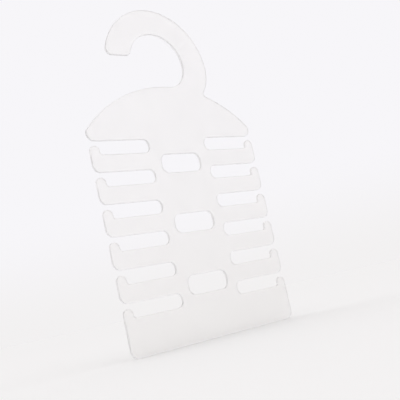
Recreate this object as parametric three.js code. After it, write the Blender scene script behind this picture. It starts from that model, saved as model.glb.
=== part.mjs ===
// Tie hanger, cut in one piece from a flat sheet of frosted, see-through plastic.
// Millimetres, +Z up, +X to the right of someone facing the front, which looks along -Y.
// The origin is the point under the top of the hook that bears on the wardrobe rail.
// The sheet is drawn as its members: the hook, the shoulder, the two rails and the bars
// of the spine, and two arms to a row. They meet face to face, because the real sheet
// has no seam.
import * as THREE from 'three';

// Sheet
const sheetThickness = 3;
const halfWidth = 102;

// Rows of arms
const rowCount = 6;
const rowPitch = 30.3;
const slotHeight = 13.5;
const slotEndRadius = 6;
const spineHalfWidth = 35;
const mouthGap = 4.75;
const tipWidth = 10.25;
const tipFootRadius = 3;
const armCornerRadius = 7.5;
const bottomArmHeight = 35.25;
const bottomCornerRadius = 7.5;

// Windows of the spine, one beside every second row
const rowsPerWindow = 2;
const windowLength = 49;
const windowHeight = 19;
const windowEndRadius = 7.5;
const windowDrop = 3.5;

// Shoulder
const shoulderHeight = 54.5;
const shoulderEdgeRadius = 4;
const shoulderUpright = 0.85;
const shoulderUnderRadius = 7.5;

// Hook
const hookInnerRadius = 32.5;
const hookBand = 29.5;
const hookTopThinning = 3.25;
const hookBackThickening = 0.75;
const hookOffset = 2.75;
const hookSink = 8;
const hookEndRise = 11;
const hookEndRadius = 6;
const hookNeckRadius = 39;
const hookNotchRadius = 3.5;
// share of the largest round that fits between the inside of the hook and the shoulder
const hookHeelShare = 0.83;

// Farthest that a facet lies from the true curve
const chordError = 0.04;

const quarter = Math.PI / 2;

// Heights, worked out downwards from the bearing point
const hookInner = {
  x: -hookOffset,
  z: -Math.sqrt(hookInnerRadius ** 2 - hookOffset ** 2),
  radius: hookInnerRadius,
};
const hookOuter = {
  x: hookBackThickening - hookOffset,
  z: hookInner.z - hookTopThinning,
  radius: hookInnerRadius + hookBand,
};
const crownRise = hookInnerRadius - hookSink;
const crownHeight = hookInner.z - crownRise;
const shoulderUnderside = crownHeight - shoulderHeight;
const armHeight = rowPitch - slotHeight;
const armReach = halfWidth - spineHalfWidth;
const tipHeight = slotHeight - mouthGap;
const firstSlotMiddle = shoulderUnderside - slotHeight / 2;

function slotFloor(row) {
  return shoulderUnderside - slotHeight - row * rowPitch;
}

const bottomEdge = slotFloor(rowCount - 1) - bottomArmHeight;

// Round between the shoulder's dome and its upright right-hand end
const domeEnd = {
  x: halfWidth - shoulderEdgeRadius,
  z: shoulderUnderside + shoulderUnderRadius + shoulderUpright,
  radius: shoulderEdgeRadius,
};

// The dome rises to the crown and touches the rounds of both its ends
const domeDrop = crownHeight - domeEnd.z;
const domeRadius =
  (domeEnd.x ** 2 + domeDrop ** 2 - shoulderEdgeRadius ** 2) / (2 * (domeDrop - shoulderEdgeRadius));
const dome = { x: 0, z: crownHeight - domeRadius, radius: domeRadius };

// The round of a given radius that touches two circles. Each reach is the distance
// between its centre and the circle's own, and of the two answers the right-hand one is kept.
function roundBetween(first, firstReach, second, secondReach, radius) {
  const dx = second.x - first.x;
  const dz = second.z - first.z;
  const apart = Math.hypot(dx, dz);
  const along = (firstReach ** 2 - secondReach ** 2 + apart ** 2) / (2 * apart);
  const aside = Math.sqrt(firstReach ** 2 - along ** 2);
  const middle = { x: first.x + (along * dx) / apart, z: first.z + (along * dz) / apart };
  const step = { x: (aside * -dz) / apart, z: (aside * dx) / apart };
  const sign = step.x < 0 ? -1 : 1;
  return { x: middle.x + sign * step.x, z: middle.z + sign * step.z, radius };
}

// Angle at which a point is seen from the centre of a circle
function angleTo(circle, point) {
  return Math.atan2(point.z - circle.z, point.x - circle.x);
}

// An outline in x and z that grows by points and arcs, and can be mirrored in x
class Outline {
  constructor() {
    this.points = [];
  }

  to(x, z) {
    this.points.push(new THREE.Vector2(x, z));
    return this;
  }

  arc(circle, from, end) {
    const step = 2 * Math.acos(1 - Math.min(chordError / circle.radius, 1));
    const count = Math.max(2, Math.ceil(Math.abs(end - from) / step));
    for (let i = 0; i <= count; i += 1) {
      const angle = from + ((end - from) * i) / count;
      this.to(circle.x + circle.radius * Math.cos(angle), circle.z + circle.radius * Math.sin(angle));
    }
    return this;
  }

  mirrored() {
    const other = new Outline();
    other.points = this.points.map((point) => new THREE.Vector2(-point.x, point.y)).reverse();
    return other;
  }

  join(other) {
    this.points.push(...other.points);
    return this;
  }

  // The outline without points that repeat their neighbour
  closed() {
    const near = chordError / 10;
    return this.points.filter((point, i, all) => point.distanceTo(all[(i + 1) % all.length]) > near);
  }
}

// Frosted plastic: light passes, but what lies behind it is blurred
function frostedPlastic() {
  return new THREE.MeshStandardMaterial({
    color: 0xf2f2f2,
    roughness: 0.42,
    metalness: 0,
    transparent: true,
    opacity: 0.6,
  });
}

// A member of the sheet: an outline at the sheet's full thickness
function member(name, outline) {
  const shape = new THREE.Shape(outline.closed());
  const geometry = new THREE.ExtrudeGeometry(shape, { depth: sheetThickness, bevelEnabled: false });
  const stand = new THREE.Matrix4().makeBasis(
    new THREE.Vector3(1, 0, 0),
    new THREE.Vector3(0, 0, 1),
    new THREE.Vector3(0, -1, 0),
  );
  geometry.applyMatrix4(stand.setPosition(0, sheetThickness / 2, 0));
  const mesh = new THREE.Mesh(geometry, frostedPlastic());
  mesh.name = name;
  return mesh;
}

// Round inside the hook, where it runs down onto the shoulder
const heelRadius = (hookHeelShare * (crownRise + hookInnerRadius)) / 2;
const heel = roundBetween(
  hookInner,
  hookInnerRadius - heelRadius,
  dome,
  domeRadius + heelRadius,
  heelRadius,
);

// Tighter bend of the hook's back, below the level of its centre
const neck = {
  x: hookOuter.x + hookOuter.radius - hookNeckRadius,
  z: hookOuter.z,
  radius: hookNeckRadius,
};

// Small inside corner where the back of the hook meets the shoulder
const notch = roundBetween(
  neck,
  hookNeckRadius + hookNotchRadius,
  dome,
  domeRadius + hookNotchRadius,
  hookNotchRadius,
);

// The hook stops at the level of its own centre, and the shoulder carries its foot
const heelCutAngle = Math.asin((hookOuter.z - heel.z) / heel.radius);

function hook() {
  const endLevel = hookOuter.z + hookEndRise;
  const endMiddle = endLevel + hookEndRadius;
  const outerReach = hookOuter.radius - hookEndRadius;
  const innerReach = hookInner.radius + hookEndRadius;
  const outerCorner = {
    x: hookOuter.x - Math.sqrt(outerReach ** 2 - (endMiddle - hookOuter.z) ** 2),
    z: endMiddle,
    radius: hookEndRadius,
  };
  const innerCorner = {
    x: hookInner.x - Math.sqrt(innerReach ** 2 - (endMiddle - hookInner.z) ** 2),
    z: endMiddle,
    radius: hookEndRadius,
  };
  const outerEnd = angleTo(hookOuter, outerCorner);
  const innerEnd = angleTo(hookInner, innerCorner);
  const outline = new Outline()
    .arc(hookOuter, 0, outerEnd)
    .arc(outerCorner, outerEnd, 3 * quarter)
    .arc(innerCorner, -quarter, innerEnd - 2 * quarter)
    .arc(hookInner, innerEnd, angleTo(hookInner, heel))
    .arc(heel, angleTo(hookInner, heel), heelCutAngle);
  return member('hook', outline);
}

const domeEndAngle = angleTo(dome, domeEnd);

// Right-hand half of the shoulder's underside and rounded end, from the spine outwards
function shoulderEnd() {
  const root = {
    x: spineHalfWidth + slotEndRadius,
    z: shoulderUnderside - slotEndRadius,
    radius: slotEndRadius,
  };
  const lower = {
    x: halfWidth - shoulderUnderRadius,
    z: shoulderUnderside + shoulderUnderRadius,
    radius: shoulderUnderRadius,
  };
  return new Outline()
    .to(spineHalfWidth, firstSlotMiddle)
    .arc(root, 2 * quarter, quarter)
    .arc(lower, -quarter, 0)
    .arc(domeEnd, 0, domeEndAngle);
}

function shoulder() {
  const rightEnd = shoulderEnd();
  const outline = new Outline()
    .join(rightEnd)
    .arc(dome, domeEndAngle, angleTo(dome, notch))
    .arc(notch, angleTo(dome, notch) - 2 * quarter, angleTo(neck, notch) - 2 * quarter)
    .arc(neck, angleTo(neck, notch), 0)
    .arc(heel, heelCutAngle, angleTo(dome, heel) - 2 * quarter)
    .arc(dome, angleTo(dome, heel), 2 * quarter - domeEndAngle)
    .join(rightEnd.mirrored());
  return member('shoulder', outline);
}

// Middle of the window beside a row
function windowMiddle(row) {
  return slotFloor(row) - armHeight / 2 - windowDrop;
}

// Rows that have a window beside them, from the top down
const windowRows = [];
for (let row = 0; row < rowCount; row += rowsPerWindow) {
  windowRows.push(row);
}

// The bars fill the spine between the windows, and the rails beside them hold the
// windows' rounded ends
const barHalfWidth = windowLength / 2 - windowEndRadius;

function rails() {
  const right = new Outline().to(spineHalfWidth, bottomEdge).to(spineHalfWidth, firstSlotMiddle);
  right.to(barHalfWidth, firstSlotMiddle);
  for (const row of windowRows) {
    const offset = windowHeight / 2 - windowEndRadius;
    const upper = { x: barHalfWidth, z: windowMiddle(row) + offset, radius: windowEndRadius };
    const lower = { x: barHalfWidth, z: windowMiddle(row) - offset, radius: windowEndRadius };
    right.arc(upper, quarter, 0).arc(lower, 0, -quarter);
  }
  right.to(barHalfWidth, bottomEdge);
  return [member('left_rail', right.mirrored()), member('right_rail', right)];
}

function bars() {
  const tops = [firstSlotMiddle, ...windowRows.map((row) => windowMiddle(row) - windowHeight / 2)];
  const undersides = [...windowRows.map((row) => windowMiddle(row) + windowHeight / 2), bottomEdge];
  return tops.map((top, i) => {
    const outline = new Outline()
      .to(-barHalfWidth, undersides[i])
      .to(barHalfWidth, undersides[i])
      .to(barHalfWidth, top)
      .to(-barHalfWidth, top);
    return member(`bar_${i + 1}`, outline);
  });
}

// Outline of an arm that reaches to the right. Its own origin is where the floor
// of the slot above it would meet the side of the spine.
function armOutline(isBottom) {
  const height = isBottom ? bottomArmHeight : armHeight;
  const cornerRadius = isBottom ? bottomCornerRadius : armCornerRadius;
  const tipRadius = tipWidth / 2;
  const upperRoot = { x: slotEndRadius, z: slotEndRadius, radius: slotEndRadius };
  const lowerRoot = { x: slotEndRadius, z: -height - slotEndRadius, radius: slotEndRadius };
  const tipFoot = { x: armReach - tipWidth - tipFootRadius, z: tipFootRadius, radius: tipFootRadius };
  const tipTop = { x: armReach - tipRadius, z: tipHeight - tipRadius, radius: tipRadius };
  const corner = { x: armReach - cornerRadius, z: -height + cornerRadius, radius: cornerRadius };
  const outline = new Outline()
    .arc(upperRoot, 2 * quarter, 3 * quarter)
    .arc(tipFoot, -quarter, 0)
    .arc(tipTop, 2 * quarter, 0)
    .arc(corner, 0, -quarter);
  return isBottom ? outline.to(0, -height) : outline.arc(lowerRoot, quarter, 2 * quarter);
}

function arms() {
  const both = [];
  for (let row = 0; row < rowCount; row += 1) {
    const right = armOutline(row === rowCount - 1);
    for (const [side, sign, outline] of [['left', -1, right.mirrored()], ['right', 1, right]]) {
      const arm = member(`${side}_arm_${row + 1}`, outline);
      arm.position.set(sign * spineHalfWidth, 0, slotFloor(row));
      both.push(arm);
    }
  }
  return both;
}

const hanger = new THREE.Group();
hanger.add(hook(), shoulder(), ...rails(), ...bars(), ...arms());

export default hanger;
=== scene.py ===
"""A tie hanger cut from one flat sheet of frosted plastic, hanging just above a pale floor.

Everything is in metres, in the row frame: the origin is the point under the top of the hook that bears on
the rail, Z is up and the front faces -Y. The contour is drawn in a flat drawing, whose x and y are the
row's X and Z, and the finished sheet is turned upright.
"""
import math

import bpy
from mathutils import Matrix, Vector


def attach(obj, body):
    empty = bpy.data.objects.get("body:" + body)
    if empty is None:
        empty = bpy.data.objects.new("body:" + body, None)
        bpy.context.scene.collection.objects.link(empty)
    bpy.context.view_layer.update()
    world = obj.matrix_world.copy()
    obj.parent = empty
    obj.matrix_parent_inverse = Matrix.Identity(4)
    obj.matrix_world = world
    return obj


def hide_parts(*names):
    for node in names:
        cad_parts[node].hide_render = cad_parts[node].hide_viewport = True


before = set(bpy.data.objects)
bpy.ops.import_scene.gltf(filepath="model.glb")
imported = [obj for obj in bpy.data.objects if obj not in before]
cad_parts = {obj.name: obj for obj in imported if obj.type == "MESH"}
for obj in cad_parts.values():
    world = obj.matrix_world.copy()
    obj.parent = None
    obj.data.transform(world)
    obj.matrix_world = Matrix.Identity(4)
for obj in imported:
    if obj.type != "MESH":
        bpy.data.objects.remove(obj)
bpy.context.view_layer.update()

MM = 0.001
QUARTER = math.pi / 2

# Sheet
SHEET_THICKNESS = 3 * MM
HALF_WIDTH = 102 * MM
EDGE_RADIUS = 0.6 * MM

# Rows of arms
ROW_COUNT = 6
ROW_PITCH = 30.3 * MM
SLOT_HEIGHT = 13.5 * MM
SLOT_END_RADIUS = 6 * MM
SPINE_HALF_WIDTH = 35 * MM
MOUTH_GAP = 4.75 * MM
TIP_WIDTH = 10.25 * MM
TIP_FOOT_RADIUS = 3 * MM
ARM_CORNER_RADIUS = 7.5 * MM
BOTTOM_ARM_HEIGHT = 35.25 * MM
BOTTOM_CORNER_RADIUS = 7.5 * MM

# Windows of the spine, one beside every second row
ROWS_PER_WINDOW = 2
WINDOW_LENGTH = 49 * MM
WINDOW_HEIGHT = 19 * MM
WINDOW_END_RADIUS = 7.5 * MM
WINDOW_DROP = 3.5 * MM

# Shoulder
SHOULDER_HEIGHT = 54.5 * MM
SHOULDER_EDGE_RADIUS = 4 * MM
SHOULDER_UPRIGHT = 0.85 * MM
SHOULDER_UNDER_RADIUS = 7.5 * MM

# Hook
HOOK_INNER_RADIUS = 32.5 * MM
HOOK_BAND = 29.5 * MM
HOOK_TOP_THINNING = 3.25 * MM
HOOK_BACK_THICKENING = 0.75 * MM
HOOK_OFFSET = 2.75 * MM
HOOK_SINK = 8 * MM
HOOK_END_RISE = 11 * MM
HOOK_END_RADIUS = 6 * MM
HOOK_NECK_RADIUS = 39 * MM
HOOK_NOTCH_RADIUS = 3.5 * MM
HOOK_HEEL_SHARE = 0.83

# Wear: how far it reaches from the hook's bearing edge, how far down the bowl, and how far below a slot,
# with the height over the first slot's floor from which it is left out
RAIL_RUB = 5 * MM
RAIL_RUB_DROP = 16 * MM
TIE_RUB = 4 * MM
TIE_RUB_MARGIN = 1 * MM

# Plastic: its refractive index, and the two tints that each surface changes between
REFRACTIVE_INDEX = 1.49
FACE_TINTS = (0.966, 0.957, 0.945, 1), (0.980, 0.972, 0.961, 1)
EDGE_TINTS = (0.980, 0.974, 0.966, 1), (0.990, 0.984, 0.976, 1)

# Patterns on it, each as its cells in a metre and its levels of detail, and the share of the cells that the
# scratches have along each axis, since they run up and down
TINT_CLOUD = 14, 4
SMEARS = 55, 3
SCRATCHES = 240, 2
SCRATCH_STRETCH = (1, 1, 0.06)
SCRATCH_PATCHES = 30, 2
WAVES = 9, 1
FROST_GRAIN = 2600, 1
CUTTER_MARKS = 2600, 2
EDGE_PATCHES = 70, 3

# The part of each pattern's range that is read, from where it counts as nothing to where it counts in full
SMEAR_BAND = 0.35, 0.75
SCRATCH_BAND = 0.38, 0.46
EDGE_BAND = 0.3, 0.7

# Roughness: from the smoothest part of a surface to the roughest, what scratches add, and what rubbing takes
FACE_ROUGHNESS = 0.34, 0.41
EDGE_ROUGHNESS = 0.4, 0.5
EDGE_UNEVENNESS = -0.03, 0.03
SCRATCH_ROUGHNESS = 0.1
RAIL_RUB_POLISH = 0.1
TIE_RUB_POLISH = 0.05

# Relief, each as its height and its strength
WAVE_RELIEF = 0.1 * MM, 1.0
GRAIN_RELIEF = 0.006 * MM, 0.5
SCRATCH_RELIEF = 0.02 * MM, 0.6
CUTTER_RELIEF = 0.004 * MM, 0.5

# Fineness: the farthest that a facet of the contour lies from the true curve, the distance from a round at
# which a straight edge gets its first point, the length that an edge must pass to get it, the steps round a
# rounded corner, and what is welded
CHORD_ERROR = 0.006 * MM
LEAD = 0.6 * MM
SHORTEST_LED = 4 * LEAD
EDGE_STEPS = 6
WELD = 0.002 * MM

# Room: the floor's radius, the corners of its rim, its distance under the sheet and its colour, the sine of
# the angle over the horizon at which the foot of the wall has faded, and the wall's two colours
FLOOR_RADIUS = 20
FLOOR_CORNERS = 96
FLOOR_CLEARANCE = 0.4 * MM
FLOOR_COLOUR = (0.958, 0.953, 0.928, 1)
WALL_FADE = 0.16
WALL_FOOT_COLOUR = (0.890, 0.876, 0.877, 1)
WALL_COLOUR = (0.930, 0.920, 0.946, 1)

# Light: the size of each soft box, the point of the sheet that they are turned to, and how often light may
# bounce
SOFT_BOX_SIZE = 1.2
SOFT_BOX_AIM = (0, 0, -0.2)
LIGHT_BOUNCES = 64

# Camera: its place, the directions of its right-hand side and of its view, its lens and the width of its
# sensor as Blender wants them, in millimetres, and where its view starts
CAMERA_PLACE = (-0.43863, -0.53608, -0.27553)
CAMERA_RIGHT = (0.76562, -0.60520, -0.21807)
CAMERA_FORWARD = (0.63826, 0.75695, 0.14012)
CAMERA_LENS = 63.54
CAMERA_SENSOR = 36
CAMERA_CLIP_START = 10 * MM


class Round:
    """A circle in the flat drawing."""

    def __init__(self, x, y, radius):
        self.x, self.y, self.radius = x, y, radius

    def at(self, angle):
        return (self.x + self.radius * math.cos(angle), self.y + self.radius * math.sin(angle))

    def angle_to(self, other):
        return math.atan2(other.y - self.y, other.x - self.x)


def arc(circle, start, end):
    """Points along a circle, fine enough for the chord error."""
    step = 2 * math.acos(1 - CHORD_ERROR / circle.radius)
    count = max(3, math.ceil(abs(end - start) / step))
    return [circle.at(start + (end - start) * i / count) for i in range(count + 1)]


def round_between(first, first_reach, second, second_reach, radius):
    """The round that touches two circles. Each reach is the distance between its centre and the circle's
    own, and of the two answers the right-hand one is kept."""
    dx, dy = second.x - first.x, second.y - first.y
    apart = math.hypot(dx, dy)
    along = (first_reach ** 2 - second_reach ** 2 + apart ** 2) / (2 * apart)
    aside = math.sqrt(first_reach ** 2 - along ** 2)
    side = -1 if dy > 0 else 1
    x = first.x + (along * dx - side * aside * dy) / apart
    y = first.y + (along * dy + side * aside * dx) / apart
    return Round(x, y, radius)


# Heights, worked out downwards from the bearing point
hook_inner = Round(-HOOK_OFFSET, -math.sqrt(HOOK_INNER_RADIUS ** 2 - HOOK_OFFSET ** 2), HOOK_INNER_RADIUS)
hook_outer = Round(
    HOOK_BACK_THICKENING - HOOK_OFFSET, hook_inner.y - HOOK_TOP_THINNING, HOOK_INNER_RADIUS + HOOK_BAND
)
crown_rise = HOOK_INNER_RADIUS - HOOK_SINK
crown_height = hook_inner.y - crown_rise
shoulder_underside = crown_height - SHOULDER_HEIGHT
first_slot_floor = shoulder_underside - SLOT_HEIGHT
arm_height = ROW_PITCH - SLOT_HEIGHT
last_slot_floor = first_slot_floor - (ROW_COUNT - 1) * ROW_PITCH
bottom_edge = last_slot_floor - BOTTOM_ARM_HEIGHT


def led_in(chain):
    """The chain without doubled points, and with an extra point near both ends of every straight run, so
    that the shading of a round stops where the round does."""
    out = [chain[0]]
    for x, y in chain[1:]:
        px, py = out[-1]
        length = math.hypot(x - px, y - py)
        if length < WELD:
            continue
        if length > SHORTEST_LED:
            share = LEAD / length
            out.append((px + (x - px) * share, py + (y - py) * share))
            out.append((x - (x - px) * share, y - (y - py) * share))
        out.append((x, y))
    return out


def head_contour():
    """From the right-hand end of the shoulder over the hook to the left-hand end."""
    end = Round(
        HALF_WIDTH - SHOULDER_EDGE_RADIUS,
        shoulder_underside + SHOULDER_UNDER_RADIUS + SHOULDER_UPRIGHT,
        SHOULDER_EDGE_RADIUS,
    )
    drop = crown_height - end.y
    dome_radius = (end.x ** 2 + drop ** 2 - end.radius ** 2) / (2 * (drop - end.radius))
    dome = Round(0, crown_height - dome_radius, dome_radius)
    end_angle = dome.angle_to(end)
    left_end = Round(-end.x, end.y, end.radius)
    under = Round(
        HALF_WIDTH - SHOULDER_UNDER_RADIUS,
        shoulder_underside + SHOULDER_UNDER_RADIUS,
        SHOULDER_UNDER_RADIUS,
    )
    left_under = Round(-under.x, under.y, under.radius)

    neck = Round(hook_outer.x + hook_outer.radius - HOOK_NECK_RADIUS, hook_outer.y, HOOK_NECK_RADIUS)
    notch = round_between(
        neck, neck.radius + HOOK_NOTCH_RADIUS, dome, dome.radius + HOOK_NOTCH_RADIUS, HOOK_NOTCH_RADIUS
    )
    heel_radius = HOOK_HEEL_SHARE * (crown_rise + HOOK_INNER_RADIUS) / 2
    heel = round_between(
        hook_inner, hook_inner.radius - heel_radius, dome, dome.radius + heel_radius, heel_radius
    )

    end_level = hook_outer.y + HOOK_END_RISE + HOOK_END_RADIUS
    outer_reach = hook_outer.radius - HOOK_END_RADIUS
    inner_reach = hook_inner.radius + HOOK_END_RADIUS
    outer_corner = Round(
        hook_outer.x - math.sqrt(outer_reach ** 2 - (end_level - hook_outer.y) ** 2),
        end_level,
        HOOK_END_RADIUS,
    )
    inner_corner = Round(
        hook_inner.x - math.sqrt(inner_reach ** 2 - (end_level - hook_inner.y) ** 2),
        end_level,
        HOOK_END_RADIUS,
    )
    outer_end = hook_outer.angle_to(outer_corner)
    inner_end = hook_inner.angle_to(inner_corner)

    return (
        [(under.x - LEAD, shoulder_underside)]
        + arc(under, -QUARTER, 0)
        + arc(end, 0, end_angle)
        + arc(dome, end_angle, dome.angle_to(notch))
        + arc(notch, dome.angle_to(notch) - 2 * QUARTER, neck.angle_to(notch) - 2 * QUARTER)
        + arc(neck, neck.angle_to(notch), 0)
        + arc(hook_outer, 0, outer_end)
        + arc(outer_corner, outer_end, 3 * QUARTER)
        + arc(inner_corner, -QUARTER, inner_end - 2 * QUARTER)
        + arc(hook_inner, inner_end, hook_inner.angle_to(heel))
        + arc(heel, hook_inner.angle_to(heel), dome.angle_to(heel) - 2 * QUARTER)
        + arc(dome, dome.angle_to(heel), 2 * QUARTER - end_angle)
        + arc(left_end, 2 * QUARTER - end_angle, 2 * QUARTER)
        + arc(left_under, 2 * QUARTER, 3 * QUARTER)
        + [(left_under.x + LEAD, shoulder_underside)]
    )


def row_contour(height, corner_radius):
    """One row on the left-hand side, going down: the slot above the arm, the arm's tip and its lower
    corner. The slot floor is at y = 0."""
    root = SPINE_HALF_WIDTH + SLOT_END_RADIUS
    upper = Round(-root, SLOT_HEIGHT - SLOT_END_RADIUS, SLOT_END_RADIUS)
    lower = Round(-root, SLOT_END_RADIUS, SLOT_END_RADIUS)
    tip_radius = TIP_WIDTH / 2
    foot = Round(-HALF_WIDTH + TIP_WIDTH + TIP_FOOT_RADIUS, TIP_FOOT_RADIUS, TIP_FOOT_RADIUS)
    tip = Round(-HALF_WIDTH + tip_radius, SLOT_HEIGHT - MOUTH_GAP - tip_radius, tip_radius)
    corner = Round(-HALF_WIDTH + corner_radius, corner_radius - height, corner_radius)
    return (
        [(-root - LEAD, SLOT_HEIGHT)]
        + arc(upper, QUARTER, 0)
        + arc(lower, 0, -QUARTER)
        + arc(foot, 3 * QUARTER, 2 * QUARTER)
        + arc(tip, 0, 2 * QUARTER)
        + arc(corner, 2 * QUARTER, 3 * QUARTER)
        + [(corner.x + LEAD, -height)]
    )


def mirrored(points):
    """The same contour on the other side, so that it still runs on in the same sense."""
    return [(-x, y) for x, y in reversed(points)]


def foot_contour():
    """The last row on both sides, with the bottom edge between."""
    left = [(x, y + last_slot_floor) for x, y in row_contour(BOTTOM_ARM_HEIGHT, BOTTOM_CORNER_RADIUS)]
    return left + mirrored(left)


def window_contour():
    """One window, round its own middle, with the sheet on its left."""
    x = WINDOW_LENGTH / 2 - WINDOW_END_RADIUS
    y = WINDOW_HEIGHT / 2 - WINDOW_END_RADIUS
    radius = WINDOW_END_RADIUS
    return (
        arc(Round(x, y, radius), QUARTER, 0)
        + arc(Round(x, -y, radius), 0, -QUARTER)
        + arc(Round(-x, -y, radius), -QUARTER, -2 * QUARTER)
        + arc(Round(-x, y, radius), 2 * QUARTER, QUARTER)
    )


def edge_contour():
    """The edge seen end on, from one face round to the other: flat in the middle, rounded at both corners.
    Its x runs outwards and its y through the thickness."""
    reach = SHEET_THICKNESS / 2 - EDGE_RADIUS
    steps = [QUARTER * i / EDGE_STEPS for i in range(EDGE_STEPS + 1)]
    first = [(EDGE_RADIUS * (math.sin(a) - 1), -reach - EDGE_RADIUS * math.cos(a)) for a in steps]
    second = [(x, -y) for x, y in reversed(first)]
    return first + [(0, 0)] + second


# Parts of the drawing, as the chains of points are marked
HEAD, ARM, FOOT, WINDOW, EDGE = range(5)


def contour_points():
    """A mesh of loose points: each chain of the contour once, with its part and its order along it."""
    chains = (
        (HEAD, head_contour()),
        (ARM, row_contour(arm_height, ARM_CORNER_RADIUS)),
        (FOOT, foot_contour()),
        (WINDOW, window_contour()),
        (EDGE, edge_contour()),
    )
    places, parts, orders = [], [], []
    for part, chain in chains:
        for i, (x, y) in enumerate(led_in(chain) if part != EDGE else chain):
            places.append((x, y, 0))
            parts.append(part)
            orders.append(i)
    mesh = bpy.data.meshes.new("sheet_contour")
    mesh.from_pydata(places, [], [])
    mesh.attributes.new("part", "INT", "POINT").data.foreach_set("value", parts)
    mesh.attributes.new("order", "INT", "POINT").data.foreach_set("value", orders)
    return mesh


class Nodes:
    """A node tree with short calls for adding and linking its nodes."""

    def __init__(self, tree):
        self.tree = tree

    def new(self, kind):
        return self.tree.nodes.new(kind)

    def link(self, source, socket):
        if isinstance(source, bpy.types.Node):
            source = next(s for s in source.outputs if s.enabled)
        self.tree.links.new(source, socket)

    def fill(self, socket, value):
        if isinstance(value, (bpy.types.Node, bpy.types.NodeSocket)):
            self.link(value, socket)
        else:
            socket.default_value = value

    def math(self, operation, *values):
        node = self.new("ShaderNodeMath")
        node.operation = operation
        for socket, value in zip(node.inputs, values):
            self.fill(socket, value)
        return node


class Rule(Nodes):
    """A geometry node tree that turns the drawing into the sheet."""

    def __init__(self, name, inputs):
        super().__init__(bpy.data.node_groups.new(name, "GeometryNodeTree"))
        face = self.tree.interface
        face.new_socket("Geometry", in_out="OUTPUT", socket_type="NodeSocketGeometry")
        for label, kind in inputs:
            face.new_socket(label, in_out="INPUT", socket_type="NodeSocket" + kind)
        self.given = self.new("NodeGroupInput").outputs

    def add(self, kind, settings=None, **values):
        """A node with its settings, and with its inputs by name, where an underscore stands for a space."""
        node = self.new(kind)
        for name, value in (settings or {}).items():
            setattr(node, name, value)
        for name, value in values.items():
            label = name.replace("_", " ")
            self.fill(next(s for s in node.inputs if s.enabled and s.name == label), value)
        return node

    def attribute(self, name, kind="INT"):
        return self.add("GeometryNodeInputNamedAttribute", {"data_type": kind}, Name=name)

    def store(self, geometry, name, value, kind="INT", domain="POINT"):
        settings = {"data_type": kind, "domain": domain}
        return self.add(
            "GeometryNodeStoreNamedAttribute", settings, Geometry=geometry, Name=name, Value=value
        )

    def join(self, *geometries):
        node = self.new("GeometryNodeJoinGeometry")
        for geometry in geometries:
            self.link(geometry, node.inputs[0])
        return node

    def part(self, number):
        """The points of one chain of the contour."""
        whole_numbers = {"data_type": "INT", "operation": "EQUAL"}
        chosen = self.add("FunctionNodeCompare", whole_numbers, A=self.attribute("part"), B=number)
        drawing = self.given["Geometry"]
        return self.add(
            "GeometryNodeSeparateGeometry", {"domain": "POINT"}, Geometry=drawing, Selection=chosen
        )

    def down_the_sheet(self, points, count, first, pitch, counter):
        """The points repeated down the sheet, each copy with its number counted from the top."""
        start = self.add("ShaderNodeCombineXYZ", Y=first)
        step = self.add("ShaderNodeCombineXYZ", Y=self.math("MULTIPLY", pitch, -1.0))
        line = self.add(
            "GeometryNodeMeshLine", {"mode": "OFFSET"}, Count=count, Start_Location=start, Offset=step
        )
        copies = self.add("GeometryNodeInstanceOnPoints", Points=line, Instance=points)
        number = self.new("GeometryNodeInputIndex")
        counted = self.store(copies, counter, number, domain="INSTANCE")
        return self.add("GeometryNodeRealizeInstances", Geometry=counted)

    def curves(self, points):
        """Points strung into curves, one for each ring, in the order of their keys."""
        cloud = self.add("GeometryNodeMeshToPoints", Mesh=points)
        return self.add(
            "GeometryNodePointsToCurves", Points=cloud, Curve_Group_ID=self.attribute("ring"),
            Weight=self.attribute("key", "FLOAT"),
        )


# More points than any one chain has, so that the keys of two chains never cross
CHAIN_STEP = 1000


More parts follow.
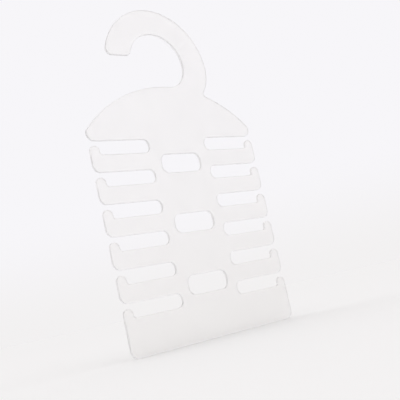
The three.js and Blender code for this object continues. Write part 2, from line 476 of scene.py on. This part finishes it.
def sheet_tree():
    """The rule of the sheet: rows of arms down both sides between the head and the foot, windows down the
    middle, a rounded wall swept round every edge, and flat faces that fill what the walls leave."""
    t = Rule(
        "sheet_with_rows_of_arms",
        (
            ("Geometry", "Geometry"),
            ("Rows", "Int"),
            ("Row pitch", "Float"),
            ("First slot floor", "Float"),
            ("Rows per window", "Int"),
            ("First window", "Float"),
            ("Thickness", "Float"),
            ("Edge radius", "Float"),
            ("Face material", "Material"),
            ("Edge material", "Material"),
        ),
    )
    given = t.given
    order = t.attribute("order")
    row = t.attribute("row")

    head = t.store(t.part(HEAD), "key", order, "FLOAT")
    rows_of_arms = t.math("SUBTRACT", given["Rows"], 1.0)
    arms = t.down_the_sheet(
        t.part(ARM), rows_of_arms, given["First slot floor"], given["Row pitch"], "row"
    )
    left_start = t.math("MULTIPLY", t.math("ADD", row, 1.0), CHAIN_STEP)
    left = t.store(arms, "key", t.math("ADD", left_start, order), "FLOAT")
    foot_start = t.math("MULTIPLY", given["Rows"], CHAIN_STEP)
    foot = t.store(t.part(FOOT), "key", t.math("ADD", foot_start, order), "FLOAT")
    rows_down = t.math("MULTIPLY", row, CHAIN_STEP)
    right_start = t.math("SUBTRACT", t.math("MULTIPLY", foot_start, 2.0), rows_down)
    turned_over = t.add("GeometryNodeTransform", Geometry=arms, Scale=(-1, 1, 1))
    right = t.store(turned_over, "key", t.math("SUBTRACT", right_start, order), "FLOAT")

    window_count = t.math("CEIL", t.math("DIVIDE", given["Rows"], given["Rows per window"]))
    window_pitch = t.math("MULTIPLY", given["Row pitch"], given["Rows per window"])
    windows = t.down_the_sheet(t.part(WINDOW), window_count, given["First window"], window_pitch, "window")
    ring = t.store(windows, "ring", t.math("ADD", t.attribute("window"), 1.0))
    rings = t.store(ring, "key", order, "FLOAT")

    drawn = t.curves(t.join(head, left, foot, right, rings))
    closed = t.add("GeometryNodeSetSplineCyclic", Geometry=drawn, Cyclic=True)
    contour = t.add("GeometryNodeSetCurveNormal", {"mode": "Z_UP"}, Curve=closed)

    edge = t.curves(t.store(t.part(EDGE), "key", order, "FLOAT"))
    length = t.new("GeometryNodeSplineParameter").outputs["Length"]
    measured = t.store(contour, "run", length, "FLOAT")
    wall = t.add("GeometryNodeCurveToMesh", Curve=measured, Profile_Curve=edge)
    walls = t.store(wall, "cut_edge", 1.0, "FLOAT", "FACE")

    inwards = t.add(
        "ShaderNodeVectorMath", {"operation": "SCALE"}, Vector=t.new("GeometryNodeInputNormal"),
        Scale=t.math("MULTIPLY", given["Edge radius"], -1.0),
    )
    rim = t.add("GeometryNodeSetPosition", Geometry=contour, Offset=inwards)
    plate = t.add("GeometryNodeFillCurve", {"mode": "TRIANGLES"}, Curve=rim)
    half = t.math("MULTIPLY", given["Thickness"], 0.5)
    top = t.add("GeometryNodeTransform", Geometry=plate, Translation=t.add("ShaderNodeCombineXYZ", Z=half))
    underneath = t.add(
        "GeometryNodeTransform", Geometry=t.add("GeometryNodeFlipFaces", Mesh=plate),
        Translation=t.add("ShaderNodeCombineXYZ", Z=t.math("MULTIPLY", half, -1.0)),
    )
    faces = t.join(top, underneath)

    round_faces = t.add("GeometryNodeSetShadeSmooth", Geometry=walls, Shade_Smooth=True)
    flat_faces = t.add("GeometryNodeSetShadeSmooth", Geometry=faces, Shade_Smooth=False)
    welded = t.add("GeometryNodeMergeByDistance", Geometry=t.join(round_faces, flat_faces), Distance=WELD)
    upright = t.add("GeometryNodeTransform", Geometry=welded, Rotation=(QUARTER, 0, 0))
    whole = t.add("GeometryNodeRealizeInstances", Geometry=upright)
    faced = t.add("GeometryNodeSetMaterial", Geometry=whole, Material=given["Face material"])
    on_edge = t.math("GREATER_THAN", t.attribute("cut_edge", "FLOAT"), 0.5)
    finished = t.add(
        "GeometryNodeSetMaterial", Geometry=faced, Selection=on_edge, Material=given["Edge material"]
    )
    t.link(finished, t.new("NodeGroupOutput").inputs[0])
    return t.tree


def made_plain(drawing, tree, values, name):
    """The object that a tree makes from a drawing, as a plain mesh of its own."""
    source = bpy.data.objects.new(name + "_drawing", drawing)
    bpy.context.collection.objects.link(source)
    modifier = source.modifiers.new("rule", "NODES")
    modifier.node_group = tree
    for item in tree.interface.items_tree:
        if item.in_out == "INPUT" and item.name in values:
            modifier[item.identifier] = values[item.name]
    bpy.context.view_layer.update()
    seen = source.evaluated_get(bpy.context.evaluated_depsgraph_get())
    mesh = bpy.data.meshes.new_from_object(seen)
    source.modifiers.remove(modifier)
    bpy.data.objects.remove(source)
    mesh.name = name
    piece = bpy.data.objects.new(name, mesh)
    bpy.context.collection.objects.link(piece)
    return piece


class Shading(Nodes):
    """A shader node tree with short calls for what a surface or a sky is mixed from."""

    def axes(self, place):
        """The three parts of a place."""
        node = self.new("ShaderNodeSeparateXYZ")
        self.link(place, node.inputs[0])
        return node.outputs["X"], node.outputs["Y"], node.outputs["Z"]

    def noise(self, place, scale, detail, stretch=(1, 1, 1)):
        mapping = self.new("ShaderNodeMapping")
        mapping.inputs["Scale"].default_value = stretch
        self.link(place, mapping.inputs["Vector"])
        node = self.new("ShaderNodeTexNoise")
        node.inputs["Scale"].default_value = scale
        node.inputs["Detail"].default_value = detail
        self.link(mapping, node.inputs["Vector"])
        return node.outputs["Fac"]

    def between(self, value, start, end, low=0.0, high=1.0):
        """The value read from start to end, and given as low to high with soft ends."""
        node = self.new("ShaderNodeMapRange")
        node.interpolation_type = "SMOOTHSTEP"
        self.link(value, node.inputs["Value"])
        for label, number in (("From Min", start), ("From Max", end), ("To Min", low), ("To Max", high)):
            node.inputs[label].default_value = number
        return node.outputs["Result"]

    def blend(self, share, first, second):
        node = self.new("ShaderNodeMix")
        node.data_type = "RGBA"
        self.link(share, node.inputs["Factor"])
        colours = [s for s in node.inputs if s.enabled and s.name in "AB"]
        colours[0].default_value, colours[1].default_value = first, second
        return next(s for s in node.outputs if s.enabled)

    def bump(self, pattern, height, strength, under=None):
        node = self.new("ShaderNodeBump")
        node.inputs["Distance"].default_value = height
        node.inputs["Strength"].default_value = strength
        self.link(pattern, node.inputs["Height"])
        if under:
            self.link(under, node.inputs["Normal"])
        return node


class Finish(Shading):
    """A material, with its shader and the place of each of its points on the piece."""

    def __init__(self, name):
        self.material = bpy.data.materials.new(name)
        self.material.use_nodes = True
        super().__init__(self.material.node_tree)
        self.shader = self.tree.nodes["Principled BSDF"]
        self.place = self.new("ShaderNodeTexCoord").outputs["Object"]


def frosted_plastic(finish, tint, roughness, normal):
    """Plastic that lets all light pass and blurs what lies behind it."""
    inputs = finish.shader.inputs
    finish.link(tint, inputs["Base Color"])
    finish.link(roughness, inputs["Roughness"])
    finish.link(normal, inputs["Normal"])
    inputs["Transmission Weight"].default_value = 1
    inputs["IOR"].default_value = REFRACTIVE_INDEX
    return finish.material


def frosted_face():
    """The satin faces, with faint waves, a fine frost grain and hairline scratches, rubbed smoother where
    the hook bears on the rail and where ties slide on the arms."""
    f = Finish("frosted_face")
    across, _, up = f.axes(f.place)

    from_centre = f.new("ShaderNodeVectorMath")
    from_centre.operation = "DISTANCE"
    from_centre.inputs[1].default_value = (hook_inner.x, 0, hook_inner.y)
    f.link(f.place, from_centre.inputs[0])
    near_bowl = f.between(from_centre.outputs["Value"], HOOK_INNER_RADIUS + RAIL_RUB, HOOK_INNER_RADIUS)
    rail_rub = f.math("MULTIPLY", near_bowl, f.between(up, -RAIL_RUB_DROP, 0.0))

    in_row = f.math("WRAP", f.math("SUBTRACT", up, first_slot_floor - ROW_PITCH), ROW_PITCH, 0.0)
    under_slot = f.between(in_row, ROW_PITCH - TIE_RUB, ROW_PITCH)
    slot_end = SPINE_HALF_WIDTH + 2 * SLOT_END_RADIUS
    in_slot = f.between(f.math("ABSOLUTE", across), SPINE_HALF_WIDTH, slot_end)
    below_shoulder = f.math("LESS_THAN", up, first_slot_floor + TIE_RUB_MARGIN)
    above_foot = f.math("GREATER_THAN", up, last_slot_floor - TIE_RUB)
    in_rows = f.math("MULTIPLY", below_shoulder, above_foot)
    tie_rub = f.math("MULTIPLY", f.math("MULTIPLY", under_slot, in_slot), in_rows)
    rail_polish = f.math("MULTIPLY", rail_rub, RAIL_RUB_POLISH)
    polish = f.math("MAXIMUM", rail_polish, f.math("MULTIPLY", tie_rub, TIE_RUB_POLISH))

    scratches = f.noise(f.place, *SCRATCHES, SCRATCH_STRETCH)
    patchy = f.math("MULTIPLY", scratches, f.noise(f.place, *SCRATCH_PATCHES))
    hairs = f.between(patchy, *SCRATCH_BAND)
    satin = f.between(f.noise(f.place, *SMEARS), *SMEAR_BAND, *FACE_ROUGHNESS)
    scratched = f.math("ADD", satin, f.math("MULTIPLY", hairs, SCRATCH_ROUGHNESS))

    waves = f.bump(f.noise(f.place, *WAVES), *WAVE_RELIEF)
    grain = f.bump(f.noise(f.place, *FROST_GRAIN), *GRAIN_RELIEF, waves)
    return frosted_plastic(
        f,
        tint=f.blend(f.noise(f.place, *TINT_CLOUD), *FACE_TINTS),
        roughness=f.math("SUBTRACT", scratched, polish),
        normal=f.bump(f.math("MULTIPLY", hairs, -1.0), *SCRATCH_RELIEF, grain),
    )


def frosted_edge():
    """The cut edge of the same sheet: a little rougher than the faces, with faint marks of the cutter
    across it."""
    f = Finish("frosted_cut_edge")
    run = f.new("ShaderNodeAttribute")
    run.attribute_name = "run"
    strip = f.new("ShaderNodeCombineXYZ")
    f.link(run.outputs["Fac"], strip.inputs["X"])
    marks = f.noise(strip, *CUTTER_MARKS)
    patches = f.noise(f.place, *EDGE_PATCHES)
    satin = f.between(marks, *EDGE_BAND, *EDGE_ROUGHNESS)
    return frosted_plastic(
        f,
        tint=f.blend(patches, *EDGE_TINTS),
        roughness=f.math("ADD", satin, f.between(patches, *EDGE_BAND, *EDGE_UNEVENNESS)),
        normal=f.bump(marks, *CUTTER_RELIEF),
    )


sheet = made_plain(
    contour_points(),
    sheet_tree(),
    {
        "Rows": ROW_COUNT,
        "Row pitch": ROW_PITCH,
        "First slot floor": first_slot_floor,
        "Rows per window": ROWS_PER_WINDOW,
        "First window": first_slot_floor - arm_height / 2 - WINDOW_DROP,
        "Thickness": SHEET_THICKNESS,
        "Edge radius": EDGE_RADIUS,
        "Face material": frosted_face(),
        "Edge material": frosted_edge(),
    },
    "hanger_sheet",
)
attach(sheet, "root")
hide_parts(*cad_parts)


def seamless_floor():
    """A pale floor just under the bottom edge, wide enough to meet the wall of the room out of sight. It
    sends back what makes it as bright as that wall."""
    bpy.ops.mesh.primitive_circle_add(vertices=FLOOR_CORNERS, radius=FLOOR_RADIUS, fill_type="NGON")
    floor = bpy.context.object
    floor.name = "pale_floor"
    floor.data.transform(Matrix.Translation((0, 0, bottom_edge - FLOOR_CLEARANCE)))
    f = Finish("pale_floor")
    matt = f.new("ShaderNodeBsdfDiffuse")
    matt.inputs["Color"].default_value = FLOOR_COLOUR
    f.link(matt, f.tree.nodes["Material Output"].inputs["Surface"])
    f.tree.nodes.remove(f.shader)
    floor.data.materials.append(f.material)


def white_room():
    """Soft white light from all round, a touch darker at the foot of the wall."""
    scene = bpy.context.scene
    world = bpy.data.worlds.new("white_room")
    world.use_nodes = True
    sky = Shading(world.node_tree)
    up = sky.axes(sky.new("ShaderNodeTexCoord").outputs["Generated"])[2]
    colour = sky.blend(sky.between(up, 0, WALL_FADE), WALL_FOOT_COLOUR, WALL_COLOUR)
    sky.link(colour, sky.tree.nodes["Background"].inputs["Color"])
    scene.world = world
    scene.view_settings.view_transform = "Standard"

    # The sheet leads light a long way between its faces, so a short path would leave its edges black
    scene.cycles.max_bounces = LIGHT_BOUNCES
    scene.cycles.transmission_bounces = LIGHT_BOUNCES
    scene.cycles.glossy_bounces = LIGHT_BOUNCES


def soft_box(name, place, power, only_mirrored=False):
    """A big soft light turned to the sheet, which isn't seen itself. One that is only mirrored lifts the
    sheet's faces, but not the floor."""
    data = bpy.data.lights.new(name, "AREA")
    data.shape = "SQUARE"
    data.size = SOFT_BOX_SIZE
    data.energy = power
    light = bpy.data.objects.new(name, data)
    light.location = place
    light.rotation_euler = (Vector(place) - Vector(SOFT_BOX_AIM)).to_track_quat("Z", "Y").to_euler()
    light.visible_camera = False
    light.visible_diffuse = light.visible_transmission = not only_mirrored
    bpy.context.collection.objects.link(light)


def camera():
    """The photograph's viewing angle."""
    forward = Vector(CAMERA_FORWARD).normalized()
    up = Vector(CAMERA_RIGHT).cross(forward).normalized()
    right = forward.cross(up)
    data = bpy.data.cameras.new("camera")
    data.lens = CAMERA_LENS
    data.sensor_width = CAMERA_SENSOR
    data.sensor_fit = "HORIZONTAL"
    data.clip_start = CAMERA_CLIP_START
    viewer = bpy.data.objects.new("camera", data)
    bpy.context.collection.objects.link(viewer)
    turn = Matrix((right, up, -forward)).transposed().to_4x4()
    viewer.matrix_world = Matrix.Translation(CAMERA_PLACE) @ turn
    bpy.context.scene.camera = viewer


seamless_floor()
white_room()
soft_box("high_soft_box", place=(-1.0, -0.6, 1.3), power=0.6)
soft_box("low_soft_box", place=(0.95, -1.15, 0.45), power=4.6, only_mirrored=True)
camera()
